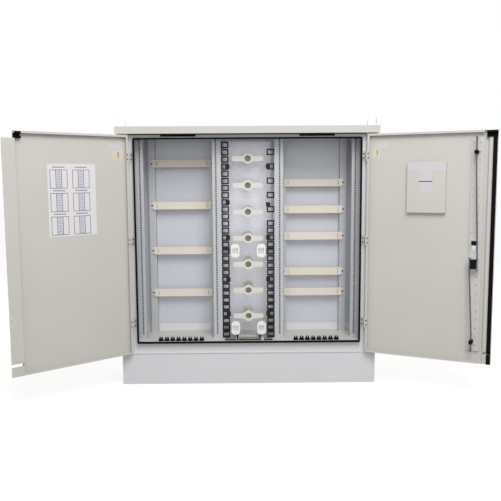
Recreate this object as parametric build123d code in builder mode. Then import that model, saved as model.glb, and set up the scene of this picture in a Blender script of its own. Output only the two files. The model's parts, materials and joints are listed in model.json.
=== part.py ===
from build123d import *
from math import pi
import os

os.makedirs("parts", exist_ok=True)

# Frame: +X right, +Y from the doors to the back panel, +Z up, origin at the middle of the plinth's base.
# The doors are drawn closed and swung about their hinges to the open rest pose.

# Body sheet metal
sheet = 2.0
body_depth = 290.0
body_height = 1339.0
wall_flange = 25.0
cut_overrun = 5.0

# Plinth
plinth_sheet = 3.0
plinth_height = 192.0
plinth_proud = 4.0
plinth_flange = 45.0
anchor_radius = 7.0
anchor_inset = 25.0

# Roof and lifting lugs
roof_fascia = 42.0
roof_front_overhang = 45.0
roof_side_overhang = 5.0
roof_back_overhang = 10.0
roof_lip = 30.0
roof_front_lip = 70.0
lug_inset_x = 13.0
lug_inset_y = 40.0
lug_foot_length = 56.0
lug_foot_width = 24.0
lug_foot_height = 4.0
lug_width = 38.0
lug_thickness = 10.0
lug_height = 55.0
lug_hole_radius = 11.0

# Door opening with its collar, vents and gasket
frame_side = 103.5
sill_height = 76.0
header_height = 30.0
sill_lip = 8.0
sill_lip_height = 3.0
sill_lip_inset = 60.0
vent_length_share = 0.158
vent_place_share = 0.307
vent_height = 11.0
vent_gap = 0.5
vent_pad_margin = 2.5
vent_pad_thickness = 5.0
roof_seal_height = 4.5
roof_seal_depth = 4.0
gasket_width = 9.5
gasket_inside = 2.5
gasket_depth = 16.0
gasket_lead = 8.0
gasket_clearance = 3.0
gasket_corner = 10.0

# Doors
hinge_inset = 71.0
hinge_gap = 7.0
door_gap = 8.0
door_depth = 24.0
door_bottom_gap = 10.0
door_top_gap = 7.5
meeting_offset = 25.0
meeting_gap = 3.0
hinge_lip = 13.0
edge_lip = 12.0
seal_lip = 45.0
seal_lip_depth = 16.0
overlap_reach = 68.0
notch_clearance = 3.0
foam_room = 13.5
left_open_angle = 140.7
right_open_angle = 155.0

# Seal and foam at the meeting edge
edge_seal_width = 22.0
edge_seal_inset = 3.0
edge_seal_thickness = 7.0
left_foam_width = 38.0
right_foam_width = 57.0
foam_depth = 19.0
foam_back = 2.0
foam_clearance = 1.0

# Hinges
hinge_height = 60.0
hinge_shares = (0.1385, 0.5206, 0.9028)
knuckle_radius = 5.0
knuckle_play = 0.5
hinge_pin_radius = 3.0
hinge_pin_fit = 0.02
hinge_pin_play = 0.06
hinge_leaf = 2.5
hinge_leaf_reach = 22.0
hinge_screw_radius = 2.5
hinge_screw_head_radius = 4.5
hinge_screw_head = 1.2
hinge_screw_pitch = 26.0
hinge_screw_place = 14.0
screw_hole_play = 0.1

# Rack uprights
rack_spacing = 465.1
rack_unit = 44.45
bay_column_x = 195.5
side_room = 119.4
hole_size = 9.0
holes_per_unit = 3
upright_width = 54.0
upright_depth = 40.0
upright_setback = 80.0
upright_hole_edge = 22.0
upright_hole_margin = 18.0
rear_upright_width = 42.0
rear_upright_depth = 41.0
rear_inner_offset = 29.5
rear_outer_offset = 49.6

# Plates at the back
bay_plate_margin = 67.0
bay_plate_rise = 52.0
bay_plate_drop = 28.0
centre_plate_gap = 8.0

# Cable bars, placed by shares of the uprights' height
bar_height = 48.0
bar_thickness = 12.0
bar_edge = 2.0
bar_tab_length = 14.0
bar_tab_height = 36.0
bar_tab_thickness = 5.0
bar_screw_radius = 2.5
bar_screw_head_radius = 5.5
bar_screw_head = 2.5
bar_slot_width = 4.0
bar_slot_height = 30.0
bar_slot_inset = 26.0
left_bar_shares = (0.8676, 0.6561, 0.4270, 0.2095)
right_bar_shares = (0.7677, 0.6326, 0.4975, 0.3153, 0.2095)

# Slack spools
spool_count = 7
spool_low_rise = 140.0
spool_top_drop = 143.0
spool_setback = 80.0
spool_ring_radius = 32.0
spool_ring_thickness = 8.0
spool_hub_radius = 24.0
spool_hub_length = 60.0
spool_bore_radius = 19.0
spool_stem_radius = 13.0
spool_base_radius = 30.0
spool_base_thickness = 5.0
spool_arm_gap = 23.5
spool_arm_root = 36.0
spool_arm_tip = 28.0
spool_arm_thickness = 6.0
spool_arm_corner = 6.0

# Jumper rings
ring_pitch = 43.7
ring_width = 47.0
ring_height = 39.0
ring_wall = 8.0
ring_depth = 24.0
ring_corner = 3.0
ring_low_rise = 21.0
ring_top_drop = 22.0
ring_block_width = 26.0
ring_block_proud = 5.0
right_dense_share = 0.62
sparse_step = 2
block_first = 3
block_step = 5.3

# Cable saddles
saddle_width = 54.0
saddle_height = 82.0
saddle_depth = 28.0
saddle_corner = 20.0
saddle_slit_width = 5.5
saddle_slit_height = 34.0
saddle_slit_depth = 18.0
saddle_slit_pitch = 13.0
saddle_gap = 8.5
saddle_drop = 78.0
saddle_spools_up = 3
bracket_sheet = 3.0
bracket_height = 40.0
bracket_gap = 2.0
bracket_tab = 12.0
post_radius = 5.0
post_inset = 10.0
post_foot_width = 10.0
post_foot_setback = 6.0
post_foot_height = 4.0

# Floor grommets
grommet_count = 8
grommet_pitch = 36.0
grommet_setback = 23.0
grommet_neck_radius = 14.0
grommet_flange_radius = 17.5
grommet_flange = 2.5
grommet_height = 23.0
grommet_tip_radius = 9.0
grommet_slit = 7.0
grommet_slit_depth = 13.0
grommet_skirt = 8.0

# Cable comb in front of the low saddles
comb_margin = 15.5
comb_setback = 12.0
comb_depth = 5.0
comb_base = 6.0
comb_height = 22.0
comb_tooth = 3.6
comb_pitch = 6.6
comb_gap = 3.0

# Right door furniture, by distance from the free edge
stiffener_near = 55.0
stiffener_far = 150.0
stiffener_depth = 12.0
stiffener_flange = 14.0
stiffener_hole_radius = 3.0
stiffener_hole_pitch = 50.0
stiffener_hole_spacing = 34.0
pocket_place_share = 0.4823
pocket_width = 218.0
pocket_height = 292.0
pocket_depth = 22.0
pocket_drop = 169.5
pocket_sheet = 1.5

# Lock and rods
lock_inset = 108.0
lock_rise_share = 0.43587
rod_setback = 14.0
rod_radius = 4.0
rod_offset = 20.0
rod_tip_radius = 5.5
rod_tip_length = 18.0
rod_tip_chamfer = 2.0
rod_bend_margin = 10.0
rod_clearance = 0.5
upper_tip_gap = 9.0
lower_tip_gap = 4.0
keeper_play = 1.0
guide_radius = 12.0
guide_cover = 8.0
upper_guide_drop = 82.0
lower_guide_rise = 56.5
pitch_radius = 16.0
tooth_count = 16
tooth_addendum = 1.6
tooth_dedendum = 2.2
tooth_root_width = 3.4
tooth_tip_width = 1.3
pinion_thickness = 12.0
rack_thickness = 8.0
rack_tooth_root_width = 4.0
rack_tooth_tip_width = 1.2
rack_tail = 38.0
rack_head = 14.0
gearbox_height = 56.0
gearbox_wall = 3.0
gearbox_cover_thickness = 3.0
spindle_radius = 6.0
spindle_play = 0.06
spindle_clearance = 0.5
spindle_grip = 16.0
lock_plate_width = 32.0
lock_plate_height = 176.0
lock_plate_low_drop = 36.0
lock_nut_rise = 62.0
lock_nut_radius = 7.0
lock_nut_height = 6.0
escutcheon_width = 44.0
escutcheon_height = 180.0
escutcheon_low_drop = 38.0
escutcheon_thickness = 4.0
escutcheon_corner = 18.0
lever_gap = 0.4
lever_hub_radius = 15.0
lever_hub_length = 26.0
lever_length = 125.0
lever_width = 22.0
lever_thickness = 12.0
lever_corner = 4.0
cylinder_rise = 93.0
cylinder_radius = 11.0
cylinder_proud = 3.0
cylinder_inner_end = 2.0
plug_radius = 6.0
plug_play = 0.06
cam_gap = 0.4
cam_thickness = 3.0
cam_length = 19.0
cam_width = 10.0
cam_corner = 3.0
keyway_width = 1.6
keyway_height = 8.0
keyway_depth = 8.0
clamp_rise = 117.0
clamp_width = 30.0
clamp_height = 23.0
clamp_depth = 15.0
clamp_corner = 4.0

# Places worked out from the sizes
column_outer_x = bay_column_x + rack_spacing
half_width = column_outer_x + side_room
body_width = 2 * half_width
front_y = -body_depth / 2
back_y = body_depth / 2
body_top = plinth_height + body_height
opening_half = half_width - frame_side
opening_width = 2 * opening_half
opening_low = plinth_height + sill_height
opening_high = body_top - header_height
opening_height = opening_high - opening_low
opening_middle = (opening_high + opening_low) / 2
collar_outer_width = opening_width + 2 * sheet
collar_outer_height = opening_height + 2 * sheet
collar_reach = door_gap + door_depth - sheet - gasket_lead - gasket_clearance
collar_edge_y = front_y - collar_reach
gasket_front_y = collar_edge_y - gasket_lead
gasket_back_y = gasket_front_y + gasket_depth
gasket_outer_half = opening_half + gasket_width - gasket_inside
gasket_inner_half = gasket_outer_half - gasket_width
gasket_top = opening_high + gasket_width - gasket_inside
gasket_base = opening_low - gasket_width + gasket_inside
vent_z = body_top - roof_seal_height - vent_gap - vent_height / 2
vent_length = vent_length_share * opening_width
vent_x = vent_place_share * opening_width
hinge_x = half_width - hinge_inset
door_back_y = front_y - door_gap
door_front_y = door_back_y - door_depth
skin_inner_y = door_front_y + sheet
hinge_y = door_back_y - door_depth / 2
door_low = plinth_height + door_bottom_gap
door_high = body_top - door_top_gap
door_edge_x = hinge_x - hinge_gap
door_height = door_high - door_low
right_free_x = -meeting_offset
left_free_x = right_free_x - meeting_gap
overlap_end_x = left_free_x + overlap_reach
seal_lip_y = door_front_y + seal_lip_depth
notch_high = (gasket_top - gasket_width - foam_room, gasket_top + notch_clearance)
notch_low = (gasket_base - notch_clearance, gasket_base + gasket_width + notch_clearance)
floor_top = opening_low
hinge_middles = [door_low + share * door_height for share in hinge_shares]
hole_pitch = rack_unit / holes_per_unit
upright_y = front_y + upright_setback
plate_y = back_y - 2 * sheet
rear_upright_y = plate_y - rear_upright_depth
rear_inner_x = bay_column_x + rear_inner_offset
rear_outer_x = column_outer_x - rear_outer_offset
bar_middle_x = (rear_inner_x + rear_outer_x) / 2
bar_length = rear_outer_x - rear_inner_x - bar_tab_length
centre_side_x = bay_column_x - (upright_width - upright_hole_edge)
ring_inner_x = centre_side_x - ring_width
ring_base = floor_top + ring_low_rise
saddle_x = ring_inner_x - saddle_gap - saddle_width / 2
post_place = saddle_x - post_inset
comb_half_way = post_foot_width / 2 + comb_gap
comb_spans = ((comb_margin - centre_side_x, -post_place - comb_half_way),
              (comb_half_way - post_place, post_place - comb_half_way),
              (post_place + comb_half_way, centre_side_x - comb_margin))
comb_y = (front_y + comb_setback, front_y + comb_setback + comb_depth)
lock_x = right_free_x + lock_inset
lock_z = door_low + lock_rise_share * door_height
rod_y = front_y + rod_setback
upper_tip_z = gasket_top - gasket_width - upper_tip_gap
lower_tip_z = gasket_base + gasket_width + lower_tip_gap
stiffener_y = skin_inner_y + stiffener_depth
roof_half = half_width + roof_side_overhang
roof_top = body_top + roof_fascia
roof_front_y = front_y - roof_front_overhang
roof_rear_y = back_y + roof_back_overhang

still = Location()


def hinge_swing(axis_x, angle):
    to_axis = Location((axis_x, hinge_y, 0))
    return to_axis * Location((0, 0, 0), (0, 0, angle)) * to_axis.inverse()


left_swing = hinge_swing(-hinge_x, -left_open_angle)
right_swing = hinge_swing(hinge_x, right_open_angle)


def swung(plane, swing):
    return Plane(swing * plane.location)


def level(height, swing=still):
    return swung(Plane.XY.offset(height), swing)


# Upright plane at a depth, drawn as seen from the doors; extruding goes towards the doors
def facing(depth, swing=still):
    return swung(Plane.XZ.offset(-depth), swing)


# Upright plane across the width, drawn as seen from the right; extruding goes to +X
def sideways(place, swing=still):
    return swung(Plane.YZ.offset(place), swing)


def middle(span):
    return (span[0] + span[1]) / 2


def size(span):
    return span[1] - span[0]


def mirrored(span):
    return (-span[1], -span[0])


def block(x_span, y_span, z_span, swing=still, mode=Mode.ADD):
    with BuildSketch(level(z_span[0], swing)) as outline:
        with Locations((middle(x_span), middle(y_span))):
            Rectangle(size(x_span), size(y_span))
    extrude(outline.sketch, amount=size(z_span), mode=mode)


def rod_z(x, y, radius, z_span, swing=still, mode=Mode.ADD):
    with BuildSketch(level(z_span[0], swing)) as outline:
        with Locations((x, y)):
            Circle(radius)
    extrude(outline.sketch, amount=size(z_span), mode=mode)


def rod_y_run(x, z, radius, y_span, swing=still, mode=Mode.ADD):
    with BuildSketch(facing(y_span[1], swing)) as outline:
        with Locations((x, z)):
            Circle(radius)
    extrude(outline.sketch, amount=size(y_span), mode=mode)


# Plate seen from the doors with rounded corners
def face_plate(x_span, z_span, y_span, corner, swing=still, mode=Mode.ADD):
    with BuildSketch(facing(y_span[1], swing)) as outline:
        with Locations((middle(x_span), middle(z_span))):
            RectangleRounded(size(x_span), size(z_span), corner)
    extrude(outline.sketch, amount=size(y_span), mode=mode)


def keep(builder, label):
    builder.part.label = label
    export_step(builder.part, f"parts/{label}.step")


# Plinth: three walls, posts beside the front panel, flanges top and bottom
plinth_x = (-half_width, half_width)
plinth_front_y = front_y - plinth_proud + sheet
plinth_y = (plinth_front_y, back_y)
plinth_z = (0, plinth_height)
anchor_spacing_x = body_width - 2 * (plinth_sheet + anchor_inset)
anchor_spacing_y = body_depth - 2 * (plinth_sheet + anchor_inset)

with BuildPart() as plinth_frame:
    block(plinth_x, plinth_y, plinth_z)
    inner_x = (-half_width + plinth_sheet, half_width - plinth_sheet)
    inner_y = (plinth_front_y + plinth_sheet, back_y - plinth_sheet)
    inner_z = (plinth_sheet, plinth_height - plinth_sheet)
    block(inner_x, inner_y, inner_z, mode=Mode.SUBTRACT)
    well_x = (-half_width + plinth_flange, half_width - plinth_flange)
    well_y = (plinth_front_y + plinth_flange, back_y - plinth_flange)
    block(well_x, well_y, (-cut_overrun, plinth_height + cut_overrun), mode=Mode.SUBTRACT)
    front_cut = (plinth_front_y - cut_overrun, plinth_front_y + plinth_sheet)
    block(well_x, front_cut, inner_z, mode=Mode.SUBTRACT)
    with BuildSketch(Plane.XY.offset(-cut_overrun)):
        with GridLocations(anchor_spacing_x, anchor_spacing_y, 2, 2):
            Circle(anchor_radius)
    extrude(amount=plinth_sheet + 2 * cut_overrun, mode=Mode.SUBTRACT)
keep(plinth_frame, "plinth_frame")

with BuildPart() as plinth_front_panel:
    block(plinth_x, (front_y - plinth_proud, plinth_front_y), plinth_z)
keep(plinth_front_panel, "plinth_front_panel")

# Front frame: plate with the door opening and vents, and the collar that carries the gasket
keeper_radius = rod_tip_radius + keeper_play
with BuildPart() as front_frame:
    with BuildSketch(facing(front_y + sheet)):
        with Locations((0, middle((plinth_height, body_top)))):
            Rectangle(body_width, body_height)
        with Locations((0, opening_middle)):
            Rectangle(opening_width, opening_height, mode=Mode.SUBTRACT)
        with Locations((-vent_x, vent_z), (vent_x, vent_z)):
            SlotOverall(vent_length, vent_height, mode=Mode.SUBTRACT)
    extrude(amount=sheet)
    with BuildSketch(facing(front_y)):
        with Locations((0, opening_middle)):
            Rectangle(collar_outer_width, collar_outer_height)
            Rectangle(opening_width, opening_height, mode=Mode.SUBTRACT)
    extrude(amount=collar_reach)
    block((-half_width + sill_lip_inset, half_width - sill_lip_inset), (front_y - sill_lip, front_y),
          (plinth_height + sill_lip_height / 2, plinth_height + 3 * sill_lip_height / 2))
    for leaf_x in (-hinge_x + hinge_screw_place, hinge_x - hinge_screw_place):
        for leaf_z in hinge_middles:
            for screw_z in (leaf_z - hinge_screw_pitch / 2, leaf_z + hinge_screw_pitch / 2):
                rod_y_run(leaf_x, screw_z, hinge_screw_radius + screw_hole_play,
                          (front_y - sheet, front_y + 2 * sheet), mode=Mode.SUBTRACT)
keep(front_frame, "front_frame")

# Gasket on the collar, with the strip under the roof and the filter pads behind the vents
with BuildPart() as door_gasket:
    with BuildSketch(facing(gasket_back_y)):
        with Locations((0, opening_middle)):
            RectangleRounded(2 * gasket_outer_half, gasket_top - gasket_base, gasket_corner)
            Rectangle(2 * gasket_inner_half, gasket_top - gasket_base - 2 * gasket_width, mode=Mode.SUBTRACT)
    extrude(amount=gasket_depth)
    with BuildSketch(facing(gasket_back_y)):
        with Locations((0, opening_middle)):
            Rectangle(collar_outer_width, collar_outer_height)
            Rectangle(opening_width, opening_height, mode=Mode.SUBTRACT)
    extrude(amount=gasket_depth - gasket_lead, mode=Mode.SUBTRACT)
    block((-hinge_x, hinge_x), (front_y - roof_seal_depth, front_y), (body_top - roof_seal_height, body_top))
    pad_half = vent_length / 2 + vent_pad_margin
    pad_rise = vent_height / 2 + vent_pad_margin
    for pad_x in (-vent_x, vent_x):
        block((pad_x - pad_half, pad_x + pad_half), (front_y + sheet, front_y + sheet + vent_pad_thickness),
              (vent_z - pad_rise, vent_z + pad_rise))
keep(door_gasket, "door_gasket")

# Shell: side panels with flanges, back panel, top pan and floor
shell_y = (front_y + sheet, back_y - sheet)
shell_inner_y = (front_y + 2 * sheet, back_y - 2 * sheet)
side_z = (plinth_height, body_top - sheet)


def side_panel(label, outer_x, inward):
    wall = sorted((outer_x, outer_x + inward * sheet))
    flange = sorted((outer_x, outer_x + inward * wall_flange))
    with BuildPart() as panel:
        block(wall, shell_y, side_z)
        block(flange, (shell_y[0], shell_inner_y[0]), side_z)
        block(flange, (shell_inner_y[1], shell_y[1]), side_z)
    keep(panel, label)


side_panel("side_panel_left", -half_width, 1)
side_panel("side_panel_right", half_width, -1)

with BuildPart() as back_panel:
    block(plinth_x, (shell_y[1], back_y), (plinth_height, body_top))
keep(back_panel, "back_panel")

with BuildPart() as top_pan:
    block(plinth_x, shell_y, (body_top - sheet, body_top))
keep(top_pan, "top_pan")

grommet_y = front_y + grommet_setback
grommet_places = []
for row_x in (-bar_middle_x, bar_middle_x):
    for step in range(grommet_count):
        grommet_places.append(row_x + (step - (grommet_count - 1) / 2) * grommet_pitch)

floor_x = (-half_width + sheet, half_width - sheet)
with BuildPart() as floor_pan:
    block(floor_x, shell_inner_y, (floor_top - sheet, floor_top))
    for edge in ((floor_x[0], floor_x[0] + sheet), (floor_x[1] - sheet, floor_x[1])):
        block(edge, shell_inner_y, (floor_top - wall_flange, floor_top))
    with BuildSketch(Plane.XY.offset(floor_top - sheet - cut_overrun)):
        with Locations(*[(place, grommet_y) for place in grommet_places]):
            Circle(grommet_neck_radius + screw_hole_play)
        with Locations((lock_x, rod_y)):
            Circle(keeper_radius)
    extrude(amount=sheet + 2 * cut_overrun, mode=Mode.SUBTRACT)
keep(floor_pan, "floor_pan")

# Split grommets in the floor and the comb between the inner uprights, open where the lower rod comes down
with BuildPart() as cable_grommets:
    with BuildSketch(Plane.XY.offset(floor_top - sheet - grommet_flange)):
        with Locations(*[(place, grommet_y) for place in grommet_places]):
            Circle(grommet_neck_radius)
    extrude(amount=grommet_flange + sheet + grommet_skirt)
    for ring_z in (floor_top - sheet - grommet_flange, floor_top):
        with BuildSketch(Plane.XY.offset(ring_z)):
            with Locations(*[(place, grommet_y) for place in grommet_places]):
                Circle(grommet_flange_radius)
        extrude(amount=grommet_flange)
    for place in grommet_places:
        with BuildSketch(Plane.XY.offset(floor_top + grommet_skirt)) as skirt:
            with Locations((place, grommet_y)):
                Circle(grommet_neck_radius)
        with BuildSketch(Plane.XY.offset(floor_top + grommet_height)) as tip:
            with Locations((place, grommet_y)):
                Circle(grommet_tip_radius)
        loft([skirt.sketch, tip.sketch])
        slit = (place - grommet_slit / 2, place + grommet_slit / 2)
        slit_y = (grommet_y - grommet_flange_radius, grommet_y + grommet_flange_radius)
        block(slit, slit_y, (floor_top + grommet_height - grommet_slit_depth, floor_top + grommet_height),
              mode=Mode.SUBTRACT)
    for span in comb_spans:
        block(span, comb_y, (floor_top, floor_top + comb_base))
        comb_teeth = int((size(span) - comb_tooth) / comb_pitch) + 1
        with BuildSketch(Plane.XY.offset(floor_top)) as comb_row:
            with Locations((middle(span), middle(comb_y))):
                with GridLocations(comb_pitch, 0, comb_teeth, 1):
                    Rectangle(comb_tooth, comb_depth)
        extrude(comb_row.sketch, amount=comb_height)
    rod_room = keeper_radius + comb_gap
    block((lock_x - rod_room, lock_x + rod_room), comb_y, (floor_top, floor_top + comb_height),
          mode=Mode.SUBTRACT)
keep(cable_grommets, "cable_grommets")

# Roof: a pan turned upside down, with lips that rest on the body
with BuildPart() as roof_cover:
    roof_x = (-roof_half, roof_half)
    roof_y = (roof_front_y, roof_rear_y)
    block(roof_x, roof_y, (body_top, roof_top))
    block((roof_x[0] + sheet, roof_x[1] - sheet), (roof_y[0] + sheet, roof_y[1] - sheet),
          (body_top + sheet, roof_top - sheet), mode=Mode.SUBTRACT)
    block((roof_x[0] + roof_lip, roof_x[1] - roof_lip), (roof_y[0] + roof_front_lip, roof_y[1] - roof_lip),
          (body_top - cut_overrun, body_top + 2 * sheet), mode=Mode.SUBTRACT)
keep(roof_cover, "roof_cover")

lug_places_x = (-roof_half + lug_inset_x, roof_half - lug_inset_x)
lug_places_y = (roof_front_y + lug_inset_y, roof_rear_y - lug_inset_y)
with BuildPart() as lifting_lugs:
    for lug_x in lug_places_x:
        for lug_y in lug_places_y:
            block((lug_x - lug_foot_width / 2, lug_x + lug_foot_width / 2),
                  (lug_y - lug_foot_length / 2, lug_y + lug_foot_length / 2),
                  (roof_top, roof_top + lug_foot_height))
            with BuildSketch(sideways(lug_x - lug_thickness / 2)):
                with Locations((lug_y, roof_top + lug_height - lug_width / 2)):
                    Circle(lug_width / 2)
                with Locations((lug_y, roof_top + (lug_height - lug_width / 2) / 2)):
                    Rectangle(lug_width, lug_height - lug_width / 2)
                with Locations((lug_y, roof_top + lug_height - lug_width / 2)):
                    Circle(lug_hole_radius, mode=Mode.SUBTRACT)
            extrude(amount=lug_thickness)
keep(lifting_lugs, "lifting_lugs")

# Hinges: the lower knuckle and its pin stay on the frame, the upper knuckle lifts off with the door
frame_leaf_y = (front_y - hinge_leaf, front_y)
door_leaf_y = (door_back_y, door_back_y + hinge_leaf)
leaf_halves = ((-hinge_height / 2, -knuckle_play / 2), (knuckle_play / 2, hinge_height / 2))


def shifted(span, step):
    return (span[0] + step, span[1] + step)


def side_span(near, far, side):
    return tuple(sorted((side * near, side * far)))


# One leaf: a flange, an arm to the hinge axis and its knuckle; side is -1 on the left, 1 on the right
def leaf(side, middle_z, flange_y, flange_out, flange_in, arm_out, arm_in, knuckle_z, bore, swing):
    flange_z = (middle_z - hinge_height / 2, middle_z + hinge_height / 2)
    block(side_span(hinge_x + flange_out, hinge_x - flange_in, side), flange_y, flange_z, swing)
    arm_y = (hinge_y, flange_y[1])
    block(side_span(hinge_x + arm_out, hinge_x + arm_in, side), arm_y, knuckle_z, swing)
    rod_z(side * hinge_x, hinge_y, knuckle_radius, knuckle_z, swing)
    rod_z(side * hinge_x, hinge_y, bore, knuckle_z, swing, mode=Mode.SUBTRACT)
    for step in (-hinge_screw_pitch / 2, hinge_screw_pitch / 2):
        rod_y_run(side * (hinge_x - hinge_screw_place), middle_z + step, hinge_screw_radius + screw_hole_play,
                  (flange_y[0] - sheet, flange_y[1] + sheet), swing, mode=Mode.SUBTRACT)


with BuildPart() as hinge_frame_leaves:
    for side in (-1, 1):
        for middle_z in hinge_middles:
            leaf(side, middle_z, frame_leaf_y, knuckle_radius, hinge_leaf_reach, knuckle_radius,
                 knuckle_radius - hinge_leaf, shifted(leaf_halves[0], middle_z),
                 hinge_pin_radius + hinge_pin_fit, still)
keep(hinge_frame_leaves, "hinge_frame_leaves")

with BuildPart() as hinge_pins:
    for side in (-1, 1):
        for middle_z in hinge_middles:
            rod_z(side * hinge_x, hinge_y, hinge_pin_radius,
                  (middle_z - hinge_height / 2, middle_z + hinge_height / 2))
keep(hinge_pins, "hinge_pins")


def door_leaves(label, side, swing):
    with BuildPart() as leaves:
        for middle_z in hinge_middles:
            leaf(side, middle_z, door_leaf_y, hinge_leaf - knuckle_radius, hinge_gap + hinge_lip,
                 hinge_leaf - knuckle_radius, -knuckle_radius, shifted(leaf_halves[1], middle_z),
                 hinge_pin_radius + hinge_pin_play, swing)
    keep(leaves, label)


# Hinge screws: a shank through the leaf and a low head on its open face
def hinge_screw(side, screw_z, shank_y, head_y, swing):
    screw_x = side * (hinge_x - hinge_screw_place)
    rod_y_run(screw_x, screw_z, hinge_screw_radius, shank_y, swing)
    rod_y_run(screw_x, screw_z, hinge_screw_head_radius, head_y, swing)


def hinge_screw_heights():
    heights = []
    for middle_z in hinge_middles:
        heights.append(middle_z - hinge_screw_pitch / 2)
        heights.append(middle_z + hinge_screw_pitch / 2)
    return heights


with BuildPart() as hinge_frame_screws:
    for side in (-1, 1):
        for screw_z in hinge_screw_heights():
            hinge_screw(side, screw_z, (frame_leaf_y[0], front_y + 2 * sheet),
                        (frame_leaf_y[0] - hinge_screw_head, frame_leaf_y[0]), still)
keep(hinge_frame_screws, "hinge_frame_screws")


def door_hinge_screws(label, side, swing):
    with BuildPart() as screws:
        for screw_z in hinge_screw_heights():
            hinge_screw(side, screw_z, (door_back_y - 2 * sheet, door_leaf_y[1]),
                        (door_leaf_y[1], door_leaf_y[1] + hinge_screw_head), swing)
    keep(screws, label)


# Front uprights: box sections with one column of square holes in the rack's pitch
upright_z = (floor_top, body_top - sheet)
hole_rows = int((size(upright_z) - 2 * upright_hole_margin) / hole_pitch)


def front_upright(label, column_x, bay_side):
    bay_edge = column_x + bay_side * upright_hole_edge
    far_edge = bay_edge - bay_side * upright_width
    face = tuple(sorted((bay_edge, far_edge)))
    with BuildPart() as upright:
        with BuildSketch(facing(upright_y + sheet)):
            with Locations((middle(face), middle(upright_z))):
                Rectangle(upright_width, size(upright_z))
            with Locations((column_x, middle(upright_z))):
                with GridLocations(0, hole_pitch, 1, hole_rows):
                    Rectangle(hole_size, hole_size, mode=Mode.SUBTRACT)
        extrude(amount=sheet)
        for flange in ((face[0], face[0] + sheet), (face[1] - sheet, face[1])):
            block(flange, (upright_y, upright_y + upright_depth), upright_z)
        block(face, (upright_y + upright_depth - sheet, upright_y + upright_depth), upright_z)
    keep(upright, label)


front_upright("front_upright_1", -column_outer_x, 1)
front_upright("front_upright_2", -bay_column_x, -1)
front_upright("front_upright_3", bay_column_x, 1)
front_upright("front_upright_4", column_outer_x, -1)

# Cable bars on the rear uprights
left_bar_z = [floor_top + share * size(upright_z) for share in left_bar_shares]
right_bar_z = [floor_top + share * size(upright_z) for share in right_bar_shares]
bar_y = (rear_upright_y - bar_thickness, rear_upright_y)
bar_screw_places = [(-hole_x, bar_z) for hole_x in (rear_inner_x, rear_outer_x) for bar_z in left_bar_z]
bar_screw_places += [(hole_x, bar_z) for hole_x in (rear_inner_x, rear_outer_x) for bar_z in right_bar_z]

with BuildPart() as rear_uprights:
    for column_x in (-rear_outer_x, -rear_inner_x, rear_inner_x, rear_outer_x):
        face = (column_x - rear_upright_width / 2, column_x + rear_upright_width / 2)
        block(face, (rear_upright_y, rear_upright_y + sheet), upright_z)
        for flange in ((face[0], face[0] + sheet), (face[1] - sheet, face[1])):
            block(flange, (rear_upright_y, plate_y), upright_z)
    for place in bar_screw_places:
        rod_y_run(*place, bar_screw_radius + screw_hole_play,
                  (rear_upright_y - sheet, rear_upright_y + 2 * sheet), mode=Mode.SUBTRACT)
keep(rear_uprights, "rear_uprights")


def cross_bars(label, side, heights):
    with BuildPart() as bars:
        for bar_z in heights:
            centre_x = side * bar_middle_x
            face_plate((centre_x - bar_length / 2, centre_x + bar_length / 2),
                       (bar_z - bar_height / 2, bar_z + bar_height / 2), bar_y, bar_edge)
            tab_reach = bar_length / 2 + bar_tab_length
            face_plate((centre_x - tab_reach, centre_x + tab_reach),
                       (bar_z - bar_tab_height / 2, bar_z + bar_tab_height / 2),
                       (bar_y[1] - bar_tab_thickness, bar_y[1]), bar_edge)
            for hole_x in (rear_inner_x, rear_outer_x):
                rod_y_run(side * hole_x, bar_z, bar_screw_radius + screw_hole_play,
                          (bar_y[0] - sheet, bar_y[1] + sheet), mode=Mode.SUBTRACT)
            slot_reach = bar_length / 2 - bar_slot_inset
            for slot_x in (centre_x - slot_reach, centre_x + slot_reach):
                block((slot_x - bar_slot_width / 2, slot_x + bar_slot_width / 2),
                      (bar_y[0] - sheet, bar_y[1] + sheet),
                      (bar_z - bar_slot_height / 2, bar_z + bar_slot_height / 2), mode=Mode.SUBTRACT)
    keep(bars, label)


cross_bars("cross_bars_left", -1, left_bar_z)
cross_bars("cross_bars_right", 1, right_bar_z)

with BuildPart() as bar_screws:
    tab_front_y = bar_y[1] - bar_tab_thickness
    for place in bar_screw_places:
        rod_y_run(*place, bar_screw_radius, (tab_front_y, rear_upright_y + 2 * sheet))
        rod_y_run(*place, bar_screw_head_radius, (tab_front_y - bar_screw_head, tab_front_y))
keep(bar_screws, "bar_screws")

# Plates against the back panel
plate_z = (floor_top + bay_plate_rise, body_top - sheet - bay_plate_drop)
bay_plate_x = (rear_inner_x - bay_plate_margin, rear_outer_x + bay_plate_margin)
centre_plate_x = (centre_plate_gap - bay_plate_x[0], bay_plate_x[0] - centre_plate_gap)
with BuildPart() as bay_plates:
    for span in (mirrored(bay_plate_x), bay_plate_x):
        block(span, (plate_y, plate_y + sheet), plate_z)
keep(bay_plates, "bay_plates")

with BuildPart() as centre_plate:
    block(centre_plate_x, (plate_y, plate_y + sheet), plate_z)
keep(centre_plate, "centre_plate")

# Slack spools: a ring with two arms in front, a hollow hub and a stem with a base on the centre plate
spool_front_y = front_y + spool_setback
spool_arm_reach = ring_inner_x - spool_arm_gap
spool_low_z = floor_top + spool_low_rise
spool_pitch = (size(upright_z) - spool_low_rise - spool_top_drop) / (spool_count - 1)


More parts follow.
